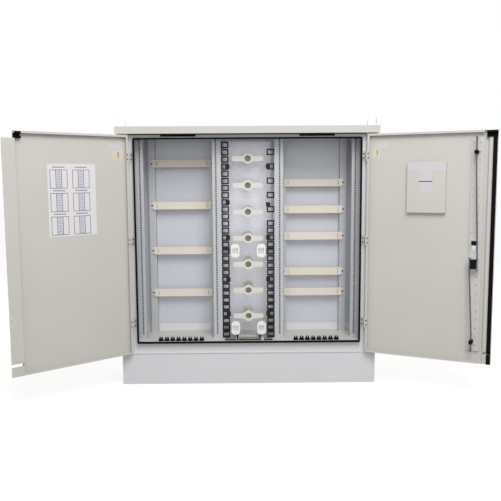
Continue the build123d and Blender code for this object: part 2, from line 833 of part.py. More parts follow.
def slack_spool(label, spool_z):
    ring_back_y = spool_front_y + spool_ring_thickness
    hub_back_y = ring_back_y + spool_hub_length
    with BuildPart() as spool:
        with BuildSketch(facing(spool_front_y + spool_arm_thickness)):
            with Locations((0, spool_z)):
                Polygon((-spool_arm_reach, -spool_arm_tip / 2), (0, -spool_arm_root / 2),
                        (spool_arm_reach, -spool_arm_tip / 2), (spool_arm_reach, spool_arm_tip / 2),
                        (0, spool_arm_root / 2), (-spool_arm_reach, spool_arm_tip / 2), align=None)
        extrude(amount=spool_arm_thickness)
        fillet(spool.edges().filter_by(Axis.Y).sort_by(Axis.X)[:2], spool_arm_corner)
        fillet(spool.edges().filter_by(Axis.Y).sort_by(Axis.X)[-2:], spool_arm_corner)
        rod_y_run(0, spool_z, spool_ring_radius, (spool_front_y, ring_back_y))
        rod_y_run(0, spool_z, spool_hub_radius, (ring_back_y, hub_back_y))
        rod_y_run(0, spool_z, spool_stem_radius, (hub_back_y, plate_y))
        rod_y_run(0, spool_z, spool_base_radius, (plate_y - spool_base_thickness, plate_y))
        rod_y_run(0, spool_z, spool_bore_radius, (spool_front_y, hub_back_y - spool_ring_thickness),
                  mode=Mode.SUBTRACT)
    keep(spool, label)


for spool_index in range(spool_count):
    from_top = spool_count - 1 - spool_index
    slack_spool(f"slack_spool_{spool_index + 1}", spool_low_z + from_top * spool_pitch)

# Jumper rings along the inner uprights, some with a fixing block that stands out towards the spools
ring_y = (upright_y, upright_y + ring_depth)
ring_middle_x = centre_side_x - ring_width / 2
ring_block_x = ring_inner_x - ring_block_proud + ring_block_width / 2
ring_hollow_height = ring_height - 2 * ring_wall
ring_reach = size(upright_z) - ring_low_rise - ring_height / 2 - ring_top_drop
left_ring_count = int(ring_reach / ring_pitch) + 1
right_dense_count = int(right_dense_share * left_ring_count)
sparse_start = right_dense_count + sparse_step - 1
sparse_count = int((left_ring_count - 1 - sparse_start) / sparse_step) + 1
sparse_units = [sparse_start + sparse_step * step for step in range(sparse_count)]
right_ring_units = [*range(right_dense_count), *sparse_units]
block_count = int((left_ring_count - 1 - block_first) / block_step) + 1
left_block_units = [round(block_first + block_step * step) for step in range(block_count)]
right_block_units = [unit for unit in left_block_units if unit < right_dense_count] + [sparse_units[-2]]
lone_block_rise = (ring_height + ring_hollow_height) / 2


def ring_places(place_x, units):
    return [(place_x, ring_base + unit * ring_pitch) for unit in units]


with BuildPart() as jumper_rings:
    for side, ring_units, block_units in ((-1, range(left_ring_count), left_block_units),
                                          (1, right_ring_units, right_block_units)):
        with BuildSketch(facing(ring_y[1])):
            with Locations(*ring_places(side * ring_middle_x, ring_units)):
                RectangleRounded(ring_width, ring_height, ring_corner)
            with Locations(*ring_places(side * ring_middle_x, ring_units)):
                Rectangle(ring_width - 2 * ring_wall, ring_hollow_height, mode=Mode.SUBTRACT)
            with Locations(*ring_places(side * ring_block_x, block_units)):
                Rectangle(ring_block_width, ring_hollow_height)
        extrude(amount=ring_depth)
    with BuildSketch(facing(ring_y[1])):
        with Locations((ring_block_x, ring_base + sparse_units[0] * ring_pitch + lone_block_rise)):
            Rectangle(ring_block_width, ring_hollow_height)
    extrude(amount=ring_depth)
keep(jumper_rings, "jumper_rings")

# Cable saddles on brackets that pass behind the rings, the low pair on footed posts too
bracket_y = (ring_y[1] + bracket_gap, ring_y[1] + bracket_gap + bracket_sheet)
saddle_y = (bracket_y[0] - saddle_depth, bracket_y[0])
saddle_heights = (spool_low_z - saddle_drop, spool_low_z + saddle_spools_up * spool_pitch - saddle_drop)

with BuildPart() as cable_saddles:
    for side in (-1, 1):
        for saddle_z in saddle_heights:
            centre_x = side * saddle_x
            face_plate((centre_x - saddle_width / 2, centre_x + saddle_width / 2),
                       (saddle_z - saddle_height / 2, saddle_z + saddle_height / 2), saddle_y, saddle_corner)
            for step in (-1, 0, 1):
                slit_x = centre_x + step * saddle_slit_pitch
                block((slit_x - saddle_slit_width / 2, slit_x + saddle_slit_width / 2),
                      (saddle_y[0], saddle_y[0] + saddle_slit_depth),
                      (saddle_z - saddle_slit_height / 2, saddle_z + saddle_slit_height / 2),
                      mode=Mode.SUBTRACT)
keep(cable_saddles, "cable_saddles")

with BuildPart() as saddle_brackets:
    for side in (-1, 1):
        for saddle_z in saddle_heights:
            arm_z = (saddle_z - bracket_height / 2, saddle_z + bracket_height / 2)
            block(side_span(saddle_x - saddle_width / 2 + saddle_corner, centre_side_x, side), bracket_y, arm_z)
            block(side_span(centre_side_x - bracket_sheet, centre_side_x, side),
                  (bracket_y[0], bracket_y[0] + bracket_tab), arm_z)
keep(saddle_brackets, "saddle_brackets")

with BuildPart() as saddle_posts:
    for side in (-1, 1):
        post_x = side * post_place
        rod_z(post_x, middle(saddle_y), post_radius, (floor_top, saddle_heights[0] - saddle_height / 2))
        block((post_x - post_foot_width / 2, post_x + post_foot_width / 2),
              (front_y + post_foot_setback, middle(saddle_y) + post_foot_width / 2),
              (floor_top, floor_top + post_foot_height))
keep(saddle_posts, "saddle_posts")


# Door pan: outer skin, returns all round and lips; the free edge is notched where the gasket passes
def door_pan(side, free_x, swing):
    edge_x = side * door_edge_x
    inward = -side
    skin_x = tuple(sorted((edge_x, free_x)))
    door_z = (door_low, door_high)
    depth = (door_front_y, door_back_y)
    lip_y = (door_back_y - sheet, door_back_y)
    block(skin_x, (door_front_y, skin_inner_y), door_z, swing)
    block(tuple(sorted((edge_x, edge_x + inward * sheet))), depth, door_z, swing)
    block(tuple(sorted((edge_x, edge_x + inward * hinge_lip))), lip_y, door_z, swing)
    for rim_z, lip_z in (((door_low, door_low + sheet), (door_low, door_low + edge_lip)),
                         ((door_high - sheet, door_high), (door_high - edge_lip, door_high))):
        block(skin_x, depth, rim_z, swing)
        block(skin_x, lip_y, lip_z, swing)
    for screw_z in hinge_screw_heights():
        rod_y_run(side * (hinge_x - hinge_screw_place), screw_z, hinge_screw_radius + screw_hole_play,
                  (door_back_y - 2 * sheet, door_back_y + sheet), swing, mode=Mode.SUBTRACT)


left_return = (left_free_x - sheet, left_free_x)
left_foam_x = (left_return[0] - left_foam_width, left_return[0])
with BuildPart() as left_door_panel:
    door_pan(-1, left_free_x, left_swing)
    block(left_return, (door_front_y, door_back_y), (door_low, door_high), left_swing)
    for notch in (notch_low, notch_high):
        block((left_foam_x[0], left_free_x + cut_overrun), (skin_inner_y, door_back_y + cut_overrun), notch,
              left_swing, mode=Mode.SUBTRACT)
    block(left_foam_x, (seal_lip_y, door_back_y + cut_overrun), (door_high - edge_lip - cut_overrun, door_high),
          left_swing, mode=Mode.SUBTRACT)
keep(left_door_panel, "left_door_panel")

# Overlap strip: a leg inside the free edge and a strip that reaches behind the right door
with BuildPart() as left_overlap_strip:
    leg_x = (left_return[0] - sheet, left_return[0])
    leg_z = (door_low + edge_lip, notch_high[0])
    block(leg_x, (skin_inner_y, door_back_y + sheet), leg_z, left_swing)
    block((leg_x[0], overlap_end_x), (door_back_y, door_back_y + sheet), (door_low, notch_high[0]), left_swing)
    block((leg_x[0] - cut_overrun, overlap_end_x + cut_overrun),
          (skin_inner_y + sheet, door_back_y + cut_overrun), notch_low, left_swing, mode=Mode.SUBTRACT)
keep(left_overlap_strip, "left_overlap_strip")


# Foam block in a door's top corner, with a groove that the gasket runs through
def foam_block(label, x_span, swing):
    foam_z = (notch_high[0], door_high - sheet)
    foam_y = (skin_inner_y, skin_inner_y + foam_depth)
    groove_z = (gasket_top - gasket_width - foam_clearance, gasket_top + foam_clearance)
    with BuildPart() as foam:
        block(x_span, foam_y, foam_z, swing)
        block((x_span[0] - cut_overrun, x_span[1] + cut_overrun),
              (skin_inner_y + foam_back, foam_y[1] + cut_overrun), groove_z, swing, mode=Mode.SUBTRACT)
    keep(foam, label)


foam_block("left_foam_block", left_foam_x, left_swing)
door_leaves("left_hinge_leaves", -1, left_swing)
door_hinge_screws("left_hinge_screws", -1, left_swing)

# Right door: its free edge is a channel whose lip carries the meeting seal, thin where the gasket passes
cylinder_z = lock_z + cylinder_rise
right_return = (right_free_x, right_free_x + sheet)
seal_lip_x = (right_free_x, right_free_x + seal_lip)
right_foam_x = (right_return[1], right_return[1] + right_foam_width)
meeting_x = (right_free_x - cut_overrun, overlap_end_x + cut_overrun)
spindle_hole_radius = spindle_radius + spindle_clearance
cylinder_hole_radius = cylinder_radius + screw_hole_play
with BuildPart() as right_door_panel:
    door_pan(1, right_free_x, right_swing)
    block(right_return, (door_front_y, seal_lip_y), (door_low, door_high), right_swing)
    block(seal_lip_x, (seal_lip_y - sheet, seal_lip_y), (door_low, notch_high[0]), right_swing)
    for lip_z in ((door_low, door_low + edge_lip + cut_overrun),
                  (door_high - edge_lip - cut_overrun, door_high)):
        block(meeting_x, (seal_lip_y, door_back_y + cut_overrun), lip_z, right_swing, mode=Mode.SUBTRACT)
    for notch in (notch_low, notch_high):
        block(meeting_x, (skin_inner_y, door_back_y + cut_overrun), notch, right_swing, mode=Mode.SUBTRACT)
    for hole_z, hole_radius in ((lock_z, spindle_hole_radius), (cylinder_z, cylinder_hole_radius)):
        rod_y_run(lock_x, hole_z, hole_radius, (door_front_y - sheet, skin_inner_y + sheet), right_swing,
                  mode=Mode.SUBTRACT)
keep(right_door_panel, "right_door_panel")

with BuildPart() as right_edge_seal:
    seal_x = (right_free_x + edge_seal_inset, right_free_x + edge_seal_inset + edge_seal_width)
    seal_y = (seal_lip_y, seal_lip_y + edge_seal_thickness)
    for seal_z in ((door_low, notch_low[0]), (notch_low[1], notch_high[0])):
        block(seal_x, seal_y, seal_z, right_swing)
    block(seal_x, (skin_inner_y, skin_inner_y + foam_back), notch_low, right_swing)
keep(right_edge_seal, "right_edge_seal")

foam_block("right_foam_block", right_foam_x, right_swing)
door_leaves("right_hinge_leaves", 1, right_swing)
door_hinge_screws("right_hinge_screws", 1, right_swing)

# Stiffener: a hat section with rows of small holes, on which the lock and rod guides sit
stiffener_x = (right_free_x + stiffener_near, right_free_x + stiffener_far)
stiffener_z = (notch_low[1], notch_high[0])
hat_x = (stiffener_x[0] + stiffener_flange, stiffener_x[1] - stiffener_flange)
stiffener_rows = int(size(stiffener_z) / stiffener_hole_pitch)
with BuildPart() as stiffener_channel:
    block(stiffener_x, (skin_inner_y, skin_inner_y + sheet), stiffener_z, right_swing)
    block(hat_x, (skin_inner_y, stiffener_y), stiffener_z, right_swing)
    block((hat_x[0] + sheet, hat_x[1] - sheet), (skin_inner_y - sheet, stiffener_y - sheet),
          (stiffener_z[0] - cut_overrun, stiffener_z[1] + cut_overrun), right_swing, mode=Mode.SUBTRACT)
    with BuildSketch(facing(stiffener_y + sheet, right_swing)):
        with Locations((lock_x, middle(stiffener_z))):
            with GridLocations(stiffener_hole_spacing, stiffener_hole_pitch, 2, stiffener_rows):
                Circle(stiffener_hole_radius)
    extrude(amount=2 * sheet, mode=Mode.SUBTRACT)
    for hole_z, hole_radius in ((lock_z, spindle_hole_radius), (cylinder_z, cylinder_hole_radius)):
        rod_y_run(lock_x, hole_z, hole_radius, (skin_inner_y, stiffener_y + sheet), right_swing,
                  mode=Mode.SUBTRACT)
keep(stiffener_channel, "stiffener_channel")

# Document pocket: a folded tray, open at the top
with BuildPart() as document_pocket:
    pocket_middle_x = hinge_x - pocket_place_share * (hinge_x - right_free_x)
    pocket_x = (pocket_middle_x - pocket_width / 2, pocket_middle_x + pocket_width / 2)
    pocket_y = (skin_inner_y, skin_inner_y + pocket_depth)
    pocket_z = (door_high - pocket_drop - pocket_height, door_high - pocket_drop)
    block(pocket_x, pocket_y, pocket_z, right_swing)
    block((pocket_x[0] + pocket_sheet, pocket_x[1] - pocket_sheet),
          (pocket_y[0] + pocket_sheet, pocket_y[1] - pocket_sheet),
          (pocket_z[0] + pocket_sheet, pocket_z[1] + cut_overrun), right_swing, mode=Mode.SUBTRACT)
keep(document_pocket, "document_pocket")

# Lock plate, gearbox and its cover on the stiffener
plate_front_y = stiffener_y + sheet
lock_plate_z = (lock_z - lock_plate_low_drop, lock_z - lock_plate_low_drop + lock_plate_height)
with BuildPart() as lock_plate:
    block((lock_x - lock_plate_width / 2, lock_x + lock_plate_width / 2), (stiffener_y, plate_front_y),
          lock_plate_z, right_swing)
    with BuildSketch(facing(plate_front_y + lock_nut_height, right_swing)):
        with Locations((lock_x, lock_z + lock_nut_rise)):
            RegularPolygon(lock_nut_radius, 6)
    extrude(amount=lock_nut_height)
    for hole_z, hole_radius in ((lock_z, spindle_hole_radius), (cylinder_z, cylinder_hole_radius)):
        rod_y_run(lock_x, hole_z, hole_radius, (stiffener_y - sheet, plate_front_y + sheet), right_swing,
                  mode=Mode.SUBTRACT)
keep(lock_plate, "lock_plate")

cavity_half = rod_offset + rod_radius + rod_clearance
gearbox_half = cavity_half + gearbox_wall
channel_inner = pitch_radius - tooth_addendum - rod_clearance
cover_half = channel_inner + gearbox_wall
channel_offsets = ((-cavity_half, -channel_inner), (channel_inner, cavity_half))
pinion_y = (rod_y - pinion_thickness / 2, rod_y + pinion_thickness / 2)
cavity_y = (pinion_y[0] - rod_clearance, pinion_y[1] + rod_clearance)
gearbox_y = (plate_front_y, cavity_y[1])
gearbox_z = (lock_z - gearbox_height / 2, lock_z + gearbox_height / 2)
with BuildPart() as gearbox_housing:
    block((lock_x - gearbox_half, lock_x + gearbox_half), gearbox_y, gearbox_z, right_swing)
    block((lock_x - cavity_half, lock_x + cavity_half), (cavity_y[0], cavity_y[1] + cut_overrun),
          (gearbox_z[0] + gearbox_wall, gearbox_z[1] - gearbox_wall), right_swing, mode=Mode.SUBTRACT)
    for channel in channel_offsets:
        block(shifted(channel, lock_x), (cavity_y[0], cavity_y[1] + cut_overrun),
              (gearbox_z[0] - cut_overrun, gearbox_z[1] + cut_overrun), right_swing, mode=Mode.SUBTRACT)
    rod_y_run(lock_x, lock_z, spindle_radius + spindle_play, gearbox_y, right_swing, mode=Mode.SUBTRACT)
keep(gearbox_housing, "gearbox_housing")

with BuildPart() as gearbox_cover:
    cover_y = (gearbox_y[1], gearbox_y[1] + gearbox_cover_thickness)
    face_plate((lock_x - cover_half, lock_x + cover_half), gearbox_z, cover_y, gearbox_wall, right_swing)
    with BuildSketch(facing(cover_y[1] + gearbox_wall / 2, right_swing)):
        with Locations((lock_x, lock_z)):
            with GridLocations(2 * cover_half - 4 * gearbox_wall, gearbox_height - 4 * gearbox_wall, 2, 2):
                Circle(gearbox_wall)
    extrude(amount=gearbox_wall / 2)
keep(gearbox_cover, "gearbox_cover")

# Rod guides: round bosses on the stiffener that each rod slides through
upper_guide_z = notch_high[0] - upper_guide_drop
lower_guide_z = notch_low[1] + lower_guide_rise
with BuildPart() as rod_guides:
    for guide_z in (upper_guide_z, lower_guide_z):
        rod_y_run(lock_x, guide_z, guide_radius, (stiffener_y, rod_y + rod_radius + guide_cover), right_swing)
        rod_z(lock_x, rod_y, rod_radius + rod_clearance,
              (guide_z - 2 * guide_radius, guide_z + 2 * guide_radius), right_swing, mode=Mode.SUBTRACT)
keep(rod_guides, "rod_guides")

# Handle escutcheon on the outside of the right door
escutcheon_y = (door_front_y - escutcheon_thickness, door_front_y)
escutcheon_z = (lock_z - escutcheon_low_drop, lock_z - escutcheon_low_drop + escutcheon_height)
with BuildPart() as handle_escutcheon:
    face_plate((lock_x - escutcheon_width / 2, lock_x + escutcheon_width / 2), escutcheon_z, escutcheon_y,
               escutcheon_corner, right_swing)
    for hole_z, hole_radius in ((lock_z, spindle_hole_radius), (cylinder_z, cylinder_hole_radius)):
        rod_y_run(lock_x, hole_z, hole_radius, (escutcheon_y[0] - sheet, escutcheon_y[1] + sheet), right_swing,
                  mode=Mode.SUBTRACT)
keep(handle_escutcheon, "handle_escutcheon")

# Key cylinder through the door, with a plug that turns in it and a cam behind the lock plate
cylinder_y = (escutcheon_y[0] - cylinder_proud, front_y + cylinder_inner_end)
with BuildPart() as key_cylinder:
    rod_y_run(lock_x, cylinder_z, cylinder_radius, cylinder_y, right_swing)
    rod_y_run(lock_x, cylinder_z, plug_radius + plug_play, cylinder_y, right_swing, mode=Mode.SUBTRACT)
keep(key_cylinder, "key_cylinder")

cam_y = (cylinder_y[1] + cam_gap, cylinder_y[1] + cam_gap + cam_thickness)
with BuildPart() as key_plug:
    rod_y_run(lock_x, cylinder_z, plug_radius, (cylinder_y[0], cam_y[1]), right_swing)
    face_plate((lock_x - cam_width / 2, lock_x + cam_width / 2),
               (cylinder_z - cam_length, cylinder_z + cam_width / 2), cam_y, cam_corner, right_swing)
    block((lock_x - keyway_width / 2, lock_x + keyway_width / 2),
          (cylinder_y[0] - cut_overrun, cylinder_y[0] + keyway_depth),
          (cylinder_z - keyway_height / 2, cylinder_z + keyway_height / 2), right_swing, mode=Mode.SUBTRACT)
keep(key_plug, "key_plug")

with BuildPart() as handle_clamp:
    clamp_z = lock_z + clamp_rise
    face_plate((lock_x - clamp_width / 2, lock_x + clamp_width / 2),
               (clamp_z - clamp_height / 2, clamp_z + clamp_height / 2),
               (plate_front_y, plate_front_y + clamp_depth), clamp_corner, right_swing)
keep(handle_clamp, "handle_clamp")

# Lever handle: a hub in front of the escutcheon and a lever that points to the hinges while unlocked
hub_y = (escutcheon_y[0] - lever_gap - lever_hub_length, escutcheon_y[0] - lever_gap)
with BuildPart() as lever_handle:
    rod_y_run(lock_x, lock_z, lever_hub_radius, hub_y, right_swing)
    face_plate((lock_x, lock_x + lever_length), (lock_z - lever_width / 2, lock_z + lever_width / 2),
               (hub_y[0], hub_y[0] + lever_thickness), lever_corner, right_swing)
    rod_y_run(lock_x, lock_z, spindle_radius + spindle_play, (hub_y[1] - spindle_grip, hub_y[1]), right_swing,
              mode=Mode.SUBTRACT)
keep(lever_handle, "lever_handle")

# Drive pinion on its spindle; a tooth points at each rack, which has a gap there
tooth_root_radius = pitch_radius - tooth_dedendum
tooth_height = tooth_addendum + tooth_dedendum
tooth_pitch = 2 * pi * pitch_radius / tooth_count
with BuildPart() as drive_pinion:
    with BuildSketch(facing(pinion_y[1], right_swing)):
        with Locations((lock_x, lock_z)):
            Circle(tooth_root_radius)
            with PolarLocations(tooth_root_radius, tooth_count):
                Polygon((-tooth_dedendum, -tooth_root_width / 2), (0, -tooth_root_width / 2),
                        (tooth_height, -tooth_tip_width / 2), (tooth_height, tooth_tip_width / 2),
                        (0, tooth_root_width / 2), (-tooth_dedendum, tooth_root_width / 2), align=None)
    extrude(amount=pinion_thickness)
    rod_y_run(lock_x, lock_z, spindle_radius, (hub_y[1] - spindle_grip, pinion_y[1]), right_swing)
keep(drive_pinion, "drive_pinion")

# Lock rods: a rack beside the pinion, a rod bent over to the middle line and a thicker tip
tail_teeth = int(rack_tail / tooth_pitch)
head_teeth = int(rack_head / tooth_pitch)
rod_travel = pitch_radius * pi / 2


# Side is the rack's side of the pinion in X, upward is 1 for the upper rod and -1 for the lower one
def lock_rod(label, side, upward, guide_z, tip_z):
    rod_x = lock_x + side * rod_offset
    root_x = lock_x + side * (pitch_radius + tooth_dedendum)
    rack_x = sorted((root_x, rod_x + side * rod_radius))
    rack_z = sorted((lock_z + upward * rack_head, lock_z - upward * rack_tail))
    tooth_steps = [step + 1 / 2 for step in range(-tail_teeth, head_teeth)]
    bend_z = lock_z + upward * (gearbox_height / 2 + rod_bend_margin)
    straight_z = guide_z - upward * (guide_radius + rod_travel + rod_bend_margin)
    with BuildPart() as rod:
        with BuildSketch(facing(rod_y + rack_thickness / 2, right_swing)):
            with Locations((middle(rack_x), middle(rack_z))):
                Rectangle(size(rack_x), size(rack_z))
            with Locations(*[(root_x, lock_z + upward * step * tooth_pitch) for step in tooth_steps]):
                Polygon((0, -rack_tooth_root_width / 2), (-side * tooth_height, -rack_tooth_tip_width / 2),
                        (-side * tooth_height, rack_tooth_tip_width / 2), (0, rack_tooth_root_width / 2),
                        align=None)
        extrude(amount=rack_thickness)
        rod_z(rod_x, rod_y, rod_radius, sorted((lock_z + upward * rack_head, bend_z)), right_swing)
        with BuildSketch(level(bend_z, right_swing)) as bend_end:
            with Locations((rod_x, rod_y)):
                Circle(rod_radius)
        with BuildSketch(level(straight_z, right_swing)) as straight_end:
            with Locations((lock_x, rod_y)):
                Circle(rod_radius)
        loft([bend_end.sketch, straight_end.sketch])
        rod_z(lock_x, rod_y, rod_radius, sorted((straight_z, tip_z)), right_swing)
        rod_z(lock_x, rod_y, rod_tip_radius, sorted((tip_z - upward * rod_tip_length, tip_z)), right_swing)
        tip_edges = rod.edges().sort_by(Axis.Z)
        chamfer(tip_edges[-1] if upward > 0 else tip_edges[0], rod_tip_chamfer)
    keep(rod, label)


lock_rod("upper_rod", -1, 1, upper_guide_z, upper_tip_z)
lock_rod("lower_rod", 1, -1, lower_guide_z, lower_tip_z)
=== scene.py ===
import json
import math

import bpy
from mathutils import Matrix, Vector


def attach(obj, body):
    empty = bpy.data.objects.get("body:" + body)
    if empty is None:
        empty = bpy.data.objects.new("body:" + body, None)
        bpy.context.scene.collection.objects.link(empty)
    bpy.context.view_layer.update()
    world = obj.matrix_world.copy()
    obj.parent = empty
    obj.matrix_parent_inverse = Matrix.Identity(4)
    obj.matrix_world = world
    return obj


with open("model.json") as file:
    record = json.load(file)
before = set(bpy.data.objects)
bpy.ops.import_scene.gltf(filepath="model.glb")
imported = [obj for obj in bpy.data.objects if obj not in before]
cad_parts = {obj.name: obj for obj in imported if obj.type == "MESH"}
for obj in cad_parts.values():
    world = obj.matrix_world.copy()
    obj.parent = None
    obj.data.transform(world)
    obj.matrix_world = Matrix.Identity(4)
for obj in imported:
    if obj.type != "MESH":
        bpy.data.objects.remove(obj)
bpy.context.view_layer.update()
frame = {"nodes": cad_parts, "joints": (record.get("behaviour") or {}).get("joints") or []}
nodes = frame["nodes"]
joints = {joint["name"]: joint for joint in frame["joints"]}
print("stage 1: frame loaded with", len(nodes), "nodes")


# sRGB hex to the linear colour that shaders take
def linearColour(hexCode):
    channels = [int(hexCode[start:start + 2], 16) / 255 for start in (1, 3, 5)]
    return [c / 12.92 if c <= 0.04045 else ((c + 0.055) / 1.055) ** 2.4 for c in channels] + [1.0]


# one node with its settings, by socket or property name, and its links
def addNode(tree, kind, settings, links=()):
    node = tree.nodes.new(kind)
    for name, value in settings.items():
        if isinstance(name, int) or name in node.inputs.keys():
            node.inputs[name].default_value = value
        else:
            setattr(node, name, value)
    for socket, source in links:
        tree.links.new(source, node.inputs[socket])
    return node


def startMaterial(name):
    material = bpy.data.materials.new(name)
    material.use_nodes = True
    tree = material.node_tree
    place = addNode(tree, "ShaderNodeTexCoord", {}).outputs["Object"]
    return material, tree, tree.nodes["Principled BSDF"], place


def dress(material, *names):
    for name in names:
        nodes[name].data.materials.clear()
        nodes[name].data.materials.append(material)


# Materials: mix colour sockets are 6 and 7, and the mixed colour is output 2
mixColourA, mixColourB, mixColourOut = 6, 7, 2
white = (1.0, 1.0, 1.0, 1.0)


# noise with spots of a size in metres
def addNoise(tree, spot, detail, place):
    noise = addNode(tree, "ShaderNodeTexNoise", {"Scale": 1 / spot, "Detail": detail}, [("Vector", place)])
    return noise.outputs[0]


# colour from the first tone to the second, by a factor from 0 to 1
def addTint(tree, first, second, factor):
    tint = addNode(tree, "ShaderNodeMix",
                   {"data_type": "RGBA", mixColourA: linearColour(first), mixColourB: linearColour(second)},
                   [(0, factor)])
    return tint.outputs[mixColourOut]


# roughness between two values, by a factor from 0 to 1
def addSheen(tree, settings, factor):
    sheen = addNode(tree, "ShaderNodeMapRange",
                    {"To Min": settings["roughLow"], "To Max": settings["roughHigh"]}, [("Value", factor)])
    return sheen.outputs[0]


def addBump(tree, height, strength, distance):
    bump = addNode(tree, "ShaderNodeBump", {"Strength": strength, "Distance": distance}, [("Height", height)])
    return bump.outputs[0]


# the shader's sockets by name, each from another node's socket or a plain value
def setShader(tree, shader, settings):
    for name, value in settings.items():
        if isinstance(value, bpy.types.NodeSocket):
            tree.links.new(value, shader.inputs[name])
        else:
            shader.inputs[name].default_value = value


# Polyester powder coat on sheet steel: an even satin skin with soft cloudiness and a fine orange peel
powderCoatSettings = {
    "pale": "#C3C0BB", "deep": "#BBB8B3", "cloudSize": 0.28, "cloudDetail": 4.0,
    "roughLow": 0.42, "roughHigh": 0.54,
    "peelSize": 0.004, "peelDetail": 2.0,   # real peel is near 1.5 mm, drawn coarser so that it shows
    "peelHeight": 0.00006, "peelStrength": 0.5,
}
coolPaintSettings = {**powderCoatSettings, "pale": "#D2D1D4", "deep": "#CBCACD"}


def makePowderCoat(name, settings):
    material, tree, shader, place = startMaterial(name)
    cloud = addNoise(tree, settings["cloudSize"], settings["cloudDetail"], place)
    peel = addNoise(tree, settings["peelSize"], settings["peelDetail"], place)
    setShader(tree, shader, {
        "Base Color": addTint(tree, settings["pale"], settings["deep"], cloud),
        "Roughness": addSheen(tree, settings, cloud),
        "Normal": addBump(tree, peel, settings["peelStrength"], settings["peelHeight"]),
    })
    return material


doorPaint = makePowderCoat("powder coated steel, light grey", powderCoatSettings)
bodyPaint = makePowderCoat("powder coated steel, cool grey", coolPaintSettings)
dress(doorPaint, "left_door_panel", "right_door_panel", "left_overlap_strip", "stiffener_channel",
      "document_pocket", "roof_cover", "floor_pan", "hinge_frame_leaves", "left_hinge_leaves",
      "right_hinge_leaves")
dress(bodyPaint, "front_frame", "side_panel_left", "side_panel_right", "back_panel", "top_pan",
      "plinth_frame", "plinth_front_panel")

# Hot-dip galvanised sheet: cool grey zinc with crystal spangle, each crystal a little brighter or duller
galvanisedSettings = {
    "bright": "#B6B8BB", "dull": "#AEB0B4", "spangle": 0.008, "metal": 0.15,
    "roughLow": 0.40, "roughHigh": 0.52,
}
# box sections get painted shade inside: a dark colour from a depth behind the front plate, standing in for
# the shadow inside
boxSettings = {**galvanisedSettings, "insideFrom": -0.060, "facingLimit": -0.5, "insideShade": "#1E1E1F"}
plateSettings = {**galvanisedSettings, "bright": "#C1C4CB", "dull": "#BCBFC6"}
# a paler, more metallic copy of the back plate zinc: its extra brightness is painted light, standing in for
# the light on the centre plate; the lifting lugs share it
litPlateSettings = {**galvanisedSettings, "bright": "#DADBE1", "dull": "#D4D5DC", "metal": 0.5}


# painted shade: a dark colour on what faces the doors from behind that depth, in place of the shadow seen
# through the holes
def paintShadeInside(tree, place, tint, settings):
    spot = addNode(tree, "ShaderNodeSeparateXYZ", {}, [("Vector", place)])
    facing = addNode(tree, "ShaderNodeTexCoord", {}).outputs["Normal"]
    front = addNode(tree, "ShaderNodeSeparateXYZ", {}, [("Vector", facing)])
    deep = addNode(tree, "ShaderNodeMath", {"operation": "GREATER_THAN", 1: settings["insideFrom"]},
                   [(0, spot.outputs["Y"])])
    facesDoors = addNode(tree, "ShaderNodeMath", {"operation": "LESS_THAN", 1: settings["facingLimit"]},
                         [(0, front.outputs["Y"])])
    inside = addNode(tree, "ShaderNodeMath", {"operation": "MULTIPLY"},
                     [(0, deep.outputs[0]), (1, facesDoors.outputs[0])])
    paintedShade = addNode(tree, "ShaderNodeMix",
                       {"data_type": "RGBA", mixColourB: linearColour(settings["insideShade"])},
                       [(0, inside.outputs[0]), (mixColourA, tint)])
    return paintedShade.outputs[mixColourOut]


def makeGalvanised(name, settings):
    material, tree, shader, place = startMaterial(name)
    crystal = addNode(tree, "ShaderNodeTexVoronoi", {"Scale": 1 / settings["spangle"]}, [("Vector", place)])
    split = addNode(tree, "ShaderNodeSeparateColor", {}, [("Color", crystal.outputs["Color"])])
    tint = addTint(tree, settings["bright"], settings["dull"], split.outputs[0])
    # painted shade inside the box sections, where only shadow falls
    if "insideFrom" in settings:
        tint = paintShadeInside(tree, place, tint, settings)
    setShader(tree, shader, {
        "Base Color": tint,
        "Roughness": addSheen(tree, settings, split.outputs[1]),
        "Metallic": settings["metal"],
    })
    return material


boxZinc = makeGalvanised("galvanised steel, box sections", boxSettings)
uprightZinc = makeGalvanised("galvanised steel, uprights", galvanisedSettings)
plateZinc = makeGalvanised("galvanised steel, back plates", plateSettings)
litPlateZinc = makeGalvanised("galvanised steel, painted light", litPlateSettings)
dress(boxZinc, "front_upright_1", "front_upright_2", "front_upright_3", "front_upright_4")
dress(uprightZinc, "rear_uprights", "saddle_brackets")
dress(plateZinc, "bay_plates")
# centre plate and lifting lugs in the zinc copy with painted light
dress(litPlateZinc, "centre_plate", "lifting_lugs")

# Moulded plastics: a fine spark-eroded grain from the mould and a slight flow marking
mouldedFinish = {
    "flowDetail": 2.0, "grain": 0.003, "grainDetail": 1.0, "grainStrength": 0.35, "grainDepth": 0.00005,
    "shine": 0.5,
}
mouldedSettings = {
    "cable bar, cream polyamide": {"pale": "#DED7CD", "deep": "#D6CBBB", "rough": 0.48, "flow": 0.12},
    "slack spool, ivory ABS": {"pale": "#D4D2C9", "deep": "#CCC9BE", "rough": 0.44, "flow": 0.05},
    "cable saddle, white nylon": {"pale": "#E8E8E5", "deep": "#E1E1DE", "rough": 0.42, "flow": 0.04},
    "jumper ring, black nylon": {"pale": "#1D1E22", "deep": "#15161A", "rough": 0.55, "flow": 0.05,
                                 "shine": 0.2},
    "lock body, black polyamide": {"pale": "#0F0F11", "deep": "#0A0A0C", "rough": 0.5, "flow": 0.03,
                                   "grain": 0.002, "shine": 0.08},
    "lever, black enamel": {"pale": "#202124", "deep": "#18191B", "rough": 0.30, "flow": 0.06,
                            "grain": 0.002},
}


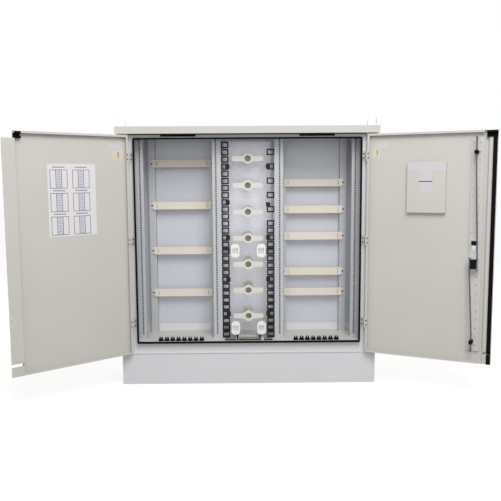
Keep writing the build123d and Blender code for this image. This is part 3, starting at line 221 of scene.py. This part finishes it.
def makeMoulded(name):
    settings = {**mouldedFinish, **mouldedSettings[name]}
    material, tree, shader, place = startMaterial(name)
    flow = addNoise(tree, settings["flow"], settings["flowDetail"], place)
    grain = addNoise(tree, settings["grain"], settings["grainDetail"], place)
    setShader(tree, shader, {
        "Base Color": addTint(tree, settings["pale"], settings["deep"], flow),
        "Normal": addBump(tree, grain, settings["grainStrength"], settings["grainDepth"]),
        "Roughness": settings["rough"],
        "Specular IOR Level": settings["shine"],
    })
    return material


dress(makeMoulded("cable bar, cream polyamide"), "cross_bars_left", "cross_bars_right")
dress(makeMoulded("slack spool, ivory ABS"), *[name for name in nodes if name.startswith("slack_spool")])
dress(makeMoulded("cable saddle, white nylon"), "cable_saddles")
dress(makeMoulded("jumper ring, black nylon"), "jumper_rings", "saddle_posts")
dress(makeMoulded("lock body, black polyamide"), "handle_clamp", "gearbox_cover", "rod_guides",
      "handle_escutcheon")
dress(makeMoulded("lever, black enamel"), "lever_handle")

# Rubber and foam: matt black, with bloom that dulls the seal and open pores in the foam
rubberFinish = {"poreDetail": 3.0, "poreStrength": 0.6, "shine": 0.06}
rubberSettings = {
    "EPDM seal, black": {"pale": "#100F0F", "deep": "#090909", "rough": 0.75, "pore": 0.010, "depth": 0.0001},
    "neoprene foam, black": {"pale": "#131214", "deep": "#09090A", "rough": 0.9, "pore": 0.003,
                             "depth": 0.0004},
}


def makeRubber(name):
    settings = {**rubberFinish, **rubberSettings[name]}
    material, tree, shader, place = startMaterial(name)
    pore = addNoise(tree, settings["pore"], settings["poreDetail"], place)
    setShader(tree, shader, {
        "Base Color": addTint(tree, settings["pale"], settings["deep"], pore),
        "Normal": addBump(tree, pore, settings["poreStrength"], settings["depth"]),
        "Roughness": settings["rough"],
        "Specular IOR Level": settings["shine"],
    })
    return material


dress(makeRubber("EPDM seal, black"), "door_gasket", "right_edge_seal", "cable_grommets")
dress(makeRubber("neoprene foam, black"), "left_foam_block", "right_foam_block")

# Plated and burnished hardware: bare metal, finely drawn along the rods
platedFinish = {"drawn": (1.0, 1.0, 0.08), "streak": 0.004, "streakDetail": 2.0, "metal": 1.0}
platedSettings = {
    "zinc plated steel": {"bright": "#C6C7C9", "dull": "#A9ABAE", "roughLow": 0.28, "roughHigh": 0.45},
    "burnished steel": {"bright": "#6E6E72", "dull": "#5C5C60", "roughLow": 0.40, "roughHigh": 0.55},
    "blackened steel": {"bright": "#4A4A4C", "dull": "#39393B", "roughLow": 0.35, "roughHigh": 0.5},
    "chrome plated brass": {"bright": "#E4E5E8", "dull": "#D2D4D8", "roughLow": 0.06, "roughHigh": 0.14,
                            "streak": 0.01},
}


def makePlated(name):
    settings = {**platedFinish, **platedSettings[name]}
    material, tree, shader, place = startMaterial(name)
    stretch = addNode(tree, "ShaderNodeMapping", {"Scale": settings["drawn"]}, [("Vector", place)])
    streak = addNoise(tree, settings["streak"], settings["streakDetail"], stretch.outputs[0])
    setShader(tree, shader, {
        "Base Color": addTint(tree, settings["bright"], settings["dull"], streak),
        "Roughness": addSheen(tree, settings, streak),
        "Metallic": settings["metal"],
    })
    return material


dress(makePlated("zinc plated steel"), "hinge_pins", "drive_pinion", "gearbox_housing", "lock_plate")
dress(makePlated("burnished steel"), "upper_rod", "lower_rod")
dress(makePlated("blackened steel"), "hinge_frame_screws", "left_hinge_screws", "right_hinge_screws",
      "bar_screws")
dress(makePlated("chrome plated brass"), "key_cylinder", "key_plug")
print("stage 2: materials on the frame")

# Paper and print: uncoated paper with a faint tooth, and matt ink
paperFinish = {"tooth": 0.02, "toothDetail": 5.0}
paperSettings = {
    "label paper, white": {"pale": "#C7C4C9", "deep": "#C1BEC3", "rough": 0.75},
    "chart paper, white": {"pale": "#D8D5D7", "deep": "#D3CFD2", "rough": 0.8},
    "print, dark grey": {"pale": "#454350", "deep": "#53515D", "rough": 0.7},
    "print, mid grey": {"pale": "#85828E", "deep": "#918E9B", "rough": 0.7},
    "print, pale blue grey": {"pale": "#C6C8CE", "deep": "#BEC0C8", "rough": 0.7},
    "print, faint grey": {"pale": "#C9C7CC", "deep": "#BFBDC4", "rough": 0.7},
    "label film, pale yellow": {"pale": "#CFC9B6", "deep": "#C9C1A8", "rough": 0.5},
    "print, olive brown": {"pale": "#8C8572", "deep": "#978F7C", "rough": 0.6},
    "print, black": {"pale": "#2A2826", "deep": "#343230", "rough": 0.6},
}


def makePaper(name):
    settings = {**paperFinish, **paperSettings[name]}
    material, tree, shader, place = startMaterial(name)
    tooth = addNoise(tree, settings["tooth"], settings["toothDetail"], place)
    setShader(tree, shader, {
        "Base Color": addTint(tree, settings["pale"], settings["deep"], tooth),
        "Roughness": settings["rough"],
    })
    return material


papers = {name: makePaper(name) for name in paperSettings}

# Doors: each turns about its hinge from closed to the open rest pose, and what is stuck inside is laid out
# by distance from the hinge axis and height above the ground
doorSettings = {
    "left_door": {"joint": "left_door_hinge", "along": 1.0, "skinDepth": -0.010},
    "right_door": {"joint": "right_door_hinge", "along": -1.0, "skinDepth": -0.010},
}


# matrix from a flat piece (x along the door's face, y up, z out of the face) to the open door
def doorPlace(door, along, height, lift):
    settings = doorSettings[door]
    joint = joints[settings["joint"]]
    closedTurn = max(joint["range_deg"], key=abs)
    hingeLine = Vector((joint["pos_m"][0], joint["pos_m"][1], 0.0))
    flatAxes = Matrix(((-1.0, 0.0, 0.0), (0.0, 0.0, 1.0), (0.0, 1.0, 0.0))).to_4x4()
    spot = Matrix.Translation((settings["along"] * along, settings["skinDepth"] + lift, height))
    swing = Matrix.Rotation(-math.radians(closedTurn), 4, "Z")
    return Matrix.Translation(hingeLine) @ swing @ spot @ flatAxes


# plane of a size, left open in edit mode with all of it selected
def startFlat(name, width, height):
    bpy.ops.object.select_all(action="DESELECT")
    bpy.ops.mesh.primitive_plane_add(size=1.0)
    piece = bpy.context.object
    piece.name = name
    bpy.ops.object.mode_set(mode="EDIT")
    bpy.ops.mesh.select_all(action="SELECT")
    bpy.ops.transform.resize(value=(width, height, 1.0))
    return piece


# thickness drawn up from the flat shape, then back to object mode
def drawUp(thick):
    bpy.ops.mesh.select_all(action="SELECT")
    bpy.ops.mesh.extrude_region_move(TRANSFORM_OT_translate={"value": (0.0, 0.0, thick)})
    bpy.ops.mesh.select_all(action="SELECT")
    bpy.ops.mesh.normals_make_consistent(inside=False)
    bpy.ops.object.mode_set(mode="OBJECT")


cornerSegments = 3


# flat sheet with rounded corners
def flatSheet(name, width, height, thick, corner):
    piece = startFlat(name, width, height)
    bpy.ops.mesh.bevel(offset=corner, segments=cornerSegments, affect="VERTICES")
    drawUp(thick)
    return piece


# printed outline of a box: the plane's middle is inset and taken out
def flatOutline(name, width, height, line, thick):
    piece = startFlat(name, width, height)
    bpy.ops.mesh.inset(thickness=line)
    bpy.ops.mesh.delete(type="FACE")
    drawUp(thick)
    return piece


# copies of a flat piece at (x, y) places, joined to one object
def repeatFlat(piece, places):
    copies = []
    for x, y in places:
        copy = piece.copy()
        copy.data = piece.data.copy()
        copy.location = (x, y, 0.0)
        bpy.context.scene.collection.objects.link(copy)
        copies.append(copy)
    bpy.data.objects.remove(piece)
    bpy.ops.object.select_all(action="DESELECT")
    for copy in copies:
        copy.select_set(True)
    bpy.context.view_layer.objects.active = copies[0]
    bpy.ops.object.join()
    joined = bpy.context.object
    bpy.ops.object.transform_apply(location=True, rotation=True, scale=True)
    return joined


def stickOn(piece, door, along, height, lift, paper):
    piece.matrix_world = doorPlace(door, along, height, lift)
    bpy.ops.object.select_all(action="DESELECT")
    piece.select_set(True)
    bpy.context.view_layer.objects.active = piece
    bpy.ops.object.transform_apply(location=True, rotation=True, scale=True)
    piece.data.materials.append(papers[paper])
    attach(piece, door)


# Wiring chart inside the left door: six tables of three columns on one sheet, with bars for the print
chartSettings = {
    "along": 0.3555, "height": 1.1505, "width": 0.285, "tall": 0.405, "thick": 0.0003, "corner": 0.003,
    "tableX": (0.054, -0.078), "tableY": (0.1180, -0.0122, -0.1425), "tableTall": 0.1040, "line": 0.0028,
    "column": 0.0332, "columnCorner": 0.0005, "inkThick": 0.00012,
    "captionWide": 0.0725, "captionTall": 0.006, "captionRise": 0.0655, "captionCorner": 0.002,
    "markWide": 0.010, "markTall": 0.003, "markCorner": 0.001, "markSteps": (0.027, 0.0, -0.027),
    "rowWide": 0.020, "rowTall": 0.003, "rowSteps": (0.040, 0.026, 0.012, -0.002, -0.016, -0.030, -0.044),
}


def makeChart(settings):
    column, tableTall, line = settings["column"], settings["tableTall"], settings["line"]
    thick, ink = settings["thick"], settings["inkThick"]
    tables = [(x, y) for x in settings["tableX"] for y in settings["tableY"]]
    columns = [(x + step * column, y) for x, y in tables for step in (-1, 0, 1)]
    captionPlaces = [(x, y + settings["captionRise"]) for x, y in tables]
    markPlaces = [(x + side * column, y + step) for x, y in tables for side in (-1, 1)
                  for step in settings["markSteps"]]
    rowPlaces = [(x, y + step) for x, y in tables for step in settings["rowSteps"]]
    sheet = flatSheet("wiringChart", settings["width"], settings["tall"], thick, settings["corner"])
    grey = repeatFlat(flatSheet("chartGreyColumn", column, tableTall, ink, settings["columnCorner"]), tables)
    lines = repeatFlat(flatOutline("chartLines", column + line, tableTall, line, 2 * ink), columns)
    captions = repeatFlat(flatSheet("chartCaptions", settings["captionWide"], settings["captionTall"], ink,
                                    settings["captionCorner"]), captionPlaces)
    marks = repeatFlat(flatSheet("chartMarks", settings["markWide"], settings["markTall"], 2 * ink,
                                 settings["markCorner"]), markPlaces)
    rows = repeatFlat(flatSheet("chartRows", settings["rowWide"], settings["rowTall"], 2 * ink,
                                settings["markCorner"]), rowPlaces)
    for piece, lift, paper in ((sheet, 0.0, "chart paper, white"), (grey, thick, "print, pale blue grey"),
                               (lines, thick, "print, dark grey"), (captions, thick, "print, mid grey"),
                               (rows, thick, "print, mid grey"), (marks, thick, "print, faint grey")):
        stickOn(piece, "left_door", settings["along"], settings["height"], lift, paper)


makeChart(chartSettings)

# Labels: door, middle along the door and height, width and height, lift above the skin, paper
labelThick, labelCorner, pocketLift = 0.0003, 0.0015, 0.022
labelSettings = {
    "leftRatingLabel": ("left_door", 0.083, 1.4565, 0.070, 0.027, 0.0, "label paper, white"),
    "leftEarthLabel": ("left_door", 0.065, 1.4075, 0.068, 0.056, 0.0, "label film, pale yellow"),
    "leftEarthBar": ("left_door", 0.062, 1.4075, 0.009, 0.036, labelThick, "print, olive brown"),
    "rightRatingLabel": ("right_door", 0.097, 1.4535, 0.064, 0.030, 0.0, "label paper, white"),
    "rightEarthLabel": ("right_door", 0.055, 1.4135, 0.046, 0.054, 0.0, "label film, pale yellow"),
    "rightEarthBar": ("right_door", 0.062, 1.4135, 0.007, 0.034, labelThick, "print, olive brown"),
    "pocketHeading": ("right_door", 0.355, 1.330, 0.214, 0.046, pocketLift, "label paper, white"),
    "pocketColumn": ("right_door", 0.349, 1.243, 0.070, 0.124, pocketLift, "label paper, white"),
    "pocketLine": ("right_door", 0.349, 1.242, 0.076, 0.005, pocketLift + labelThick, "print, black"),
}
for name, (door, along, height, width, tall, lift, paper) in labelSettings.items():
    label = flatSheet(name, width, tall, labelThick, labelCorner)
    stickOn(label, door, along, height, lift, paper)
print("stage 3: chart and labels on the doors")

# Studio: pale floor, white surroundings, a large soft light from the front above, a weaker one lower down
# and one behind for the back
studioSettings = {
    "floorSize": 60.0, "floorColour": "#8C8C8A", "floorRough": 0.9, "floorGlow": 0.73, "worldLight": 0.62,
    "lamps": {
        "keyLight": {"place": (0.6, -3.5, 4.6), "aim": (0.0, -0.1, 0.9), "size": 2.6, "watts": 196.0},
        "fillLight": {"place": (0.4, -5.4, 1.9), "aim": (0.0, 0.0, 0.8), "size": 3.0, "watts": 45.0},
        "backLight": {"place": (0.8, 4.2, 3.4), "aim": (0.0, 0.1, 0.8), "size": 3.0, "watts": 90.0},
    },
}


# 1 for rays that see the background itself: from the camera, or by way of metal or glass
def seenRay(tree):
    ray = addNode(tree, "ShaderNodeLightPath", {})
    mirrored = addNode(tree, "ShaderNodeMath", {"operation": "MAXIMUM"},
                       [(0, ray.outputs["Is Glossy Ray"]), (1, ray.outputs["Is Transmission Ray"])])
    seen = addNode(tree, "ShaderNodeMath", {"operation": "MAXIMUM"},
                   [(0, ray.outputs["Is Camera Ray"]), (1, mirrored.outputs[0])])
    return seen.outputs[0]


def makeFloor(settings):
    bpy.ops.object.select_all(action="DESELECT")
    bpy.ops.mesh.primitive_plane_add(size=settings["floorSize"])
    floor = bpy.context.object
    floor.name = "studioFloor"
    material, tree, shader = startMaterial("studio floor")[:3]
    glow = addNode(tree, "ShaderNodeMath", {"operation": "MULTIPLY", 1: settings["floorGlow"]},
                   [(0, seenRay(tree))])
    setShader(tree, shader, {
        "Base Color": linearColour(settings["floorColour"]),
        "Roughness": settings["floorRough"],
        "Emission Color": white,
        "Emission Strength": glow.outputs[0],
    })
    floor.data.materials.append(material)


def makeSurroundings(settings):
    world = bpy.data.worlds.new("studio surroundings")
    bpy.context.scene.world = world
    world.use_nodes = True
    tree = world.node_tree
    level = addNode(tree, "ShaderNodeMapRange", {"To Min": settings["worldLight"], "To Max": 1.0},
                    [("Value", seenRay(tree))])
    setShader(tree, tree.nodes["Background"], {"Color": white, "Strength": level.outputs[0]})


def makeLamps(lamps):
    for name, lamp in lamps.items():
        light = bpy.data.lights.new(name, "AREA")
        light.size = lamp["size"]
        light.energy = lamp["watts"]
        holder = bpy.data.objects.new(name, light)
        bpy.context.scene.collection.objects.link(holder)
        holder.location = lamp["place"]
        beam = Vector(lamp["aim"]) - Vector(lamp["place"])
        holder.rotation_euler = beam.to_track_quat("-Z", "Y").to_euler()


makeFloor(studioSettings)
makeSurroundings(studioSettings)
makeLamps(studioSettings["lamps"])

# Camera: as the photograph was taken, a little left of the middle and looking slightly down
cameraSettings = {
    "place": (-0.0181, -4.0396, 1.2672), "turnRight": 0.468, "lookDown": 6.413, "tilt": -0.362,
    "focalPixels": 644.35, "imagePixels": 501, "sensor": 36.0, "clipEnd": 100.0,
}


def makeCamera(settings):
    turn, down, tilt = (math.radians(settings[key]) for key in ("turnRight", "lookDown", "tilt"))
    ahead = Vector((math.sin(turn) * math.cos(down), math.cos(turn) * math.cos(down), -math.sin(down)))
    right = Vector((math.cos(turn), -math.sin(turn), 0.0))
    upward = right.cross(ahead)
    sideAxis = math.cos(tilt) * right + math.sin(tilt) * upward
    topAxis = math.cos(tilt) * upward - math.sin(tilt) * right
    lens = bpy.data.cameras.new("photoCamera")
    lens.sensor_width = settings["sensor"]
    lens.lens = settings["focalPixels"] / settings["imagePixels"] * settings["sensor"]
    lens.clip_end = settings["clipEnd"]
    camera = bpy.data.objects.new("photoCamera", lens)
    bpy.context.scene.collection.objects.link(camera)
    axes = Matrix((sideAxis, topAxis, -ahead)).transposed().to_4x4()
    camera.matrix_world = Matrix.Translation(settings["place"]) @ axes
    bpy.context.scene.camera = camera


makeCamera(cameraSettings)
bpy.context.scene.view_settings.view_transform = "Standard"
print("stage 4: studio, lights and camera")
